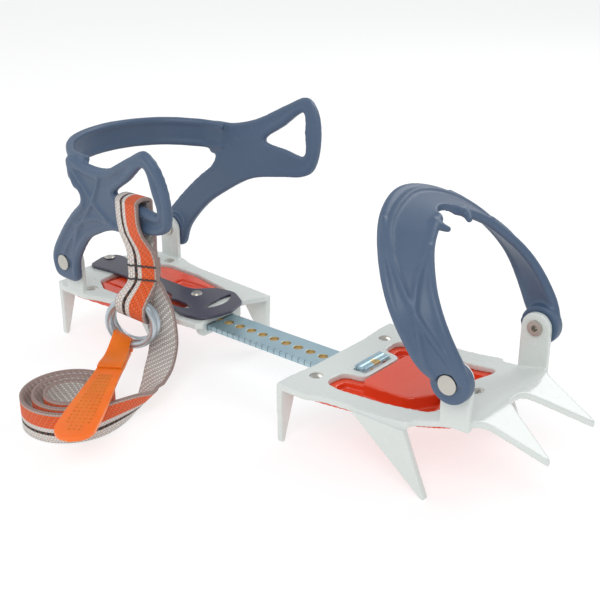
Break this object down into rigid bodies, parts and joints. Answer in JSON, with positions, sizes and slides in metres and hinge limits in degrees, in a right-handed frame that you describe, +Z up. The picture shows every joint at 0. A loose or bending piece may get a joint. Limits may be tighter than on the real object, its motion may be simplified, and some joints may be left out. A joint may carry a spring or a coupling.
{
  "type": "crampon",
  "caption": "Walking crampon with spiked toe and heel plates, sliding size bar, plastic toe bail, hinged heel harness and a coiled webbing strap with rings.",
  "frame": {"origin": "on the ground under the middle of the plates and harnesses, spike tips on z = 0", "axes": "+X towards the toe, +Y to the side away from the strap, +Z up"},
  "size_m": [0.3054, 0.1828, 0.1357],
  "materials": {
    "painted_steel": "glossy powder coat, light grey-white",
    "antiball": "glossy moulded red",
    "harness": "satin moulded blue-grey",
    "zinc": "bright zinc, bluish",
    "rivet": "nickel plated",
    "lever": "satin dark navy",
    "webbing": "woven, striped orange, light grey and black",
    "thread": "sewing thread",
    "tab": "translucent orange, dotted"
  },
  "bodies": {
    "toe_unit": {"toe_plate": "painted_steel", "toe_antiball_plate": "antiball", "toe_antiball_rivets": "rivet", "linking_bar": "zinc"},
    "toe_bail": {"toe_bail": "harness", "toe_bail_rivets": "rivet"},
    "heel_unit": {"heel_plate": "painted_steel", "heel_antiball_plate": "antiball", "heel_antiball_rivets": "rivet", "lever_pivot_rivet": "rivet", "strap_coil": "webbing", "strap_tail": "webbing"},
    "size_lever": {"size_lever": "lever", "locking_pin": "rivet"},
    "heel_harness": {"heel_harness": "harness", "heel_harness_rivets": "rivet", "strap_loop": "webbing", "strap_stitching": "thread"},
    "ring_front": {"ring_front": "zinc"},
    "ring_rear": {"ring_rear": "zinc"},
    "pull_tab": {"pull_tab": "tab", "pull_tab_rivet": "rivet"}
  },
  "joints": [
    {"name": "toe_bail_hinge", "type": "hinge", "parent": "toe_unit", "child": "toe_bail", "pos_m": [0.117, 0, 0.0565], "axis": [0, 1, 0], "range_deg": [-40, 60]},
    {"name": "size_slide", "type": "slide", "parent": "toe_unit", "child": "heel_unit", "axis": [1, 0, 0], "range_m": [-0.032, 0.064]},
    {"name": "lever_lift", "type": "hinge", "parent": "heel_unit", "child": "size_lever", "pos_m": [-0.152, 0, 0.033], "axis": [0, 1, 0], "range_deg": [-3, 0], "stiffness_Nm_per_rad": 2},
    {"name": "harness_hinge", "type": "hinge", "parent": "heel_unit", "child": "heel_harness", "pos_m": [-0.1244, 0, 0.051], "axis": [0, 1, 0], "range_deg": [-40, 0], "deforming": ["strap_tail"]},
    {"name": "ring_front_swing", "type": "hinge", "parent": "heel_harness", "child": "ring_front", "pos_m": [-0.06107, -0.05131, 0.048], "axis": [0.8988, 0.4384, 0], "range_deg": [-10, 0]},
    {"name": "ring_rear_swing", "type": "hinge", "parent": "heel_harness", "child": "ring_rear", "pos_m": [-0.06273, -0.04789, 0.0476], "axis": [0.8988, 0.4384, 0], "range_deg": [0, 2.5]},
    {"name": "tab_swing", "type": "hinge", "parent": "ring_front", "child": "pull_tab", "pos_m": [-0.06563, -0.05353, 0.02512], "axis": [0.8146, 0.3973, -0.4226], "range_deg": [-40, 0]}
  ]
}
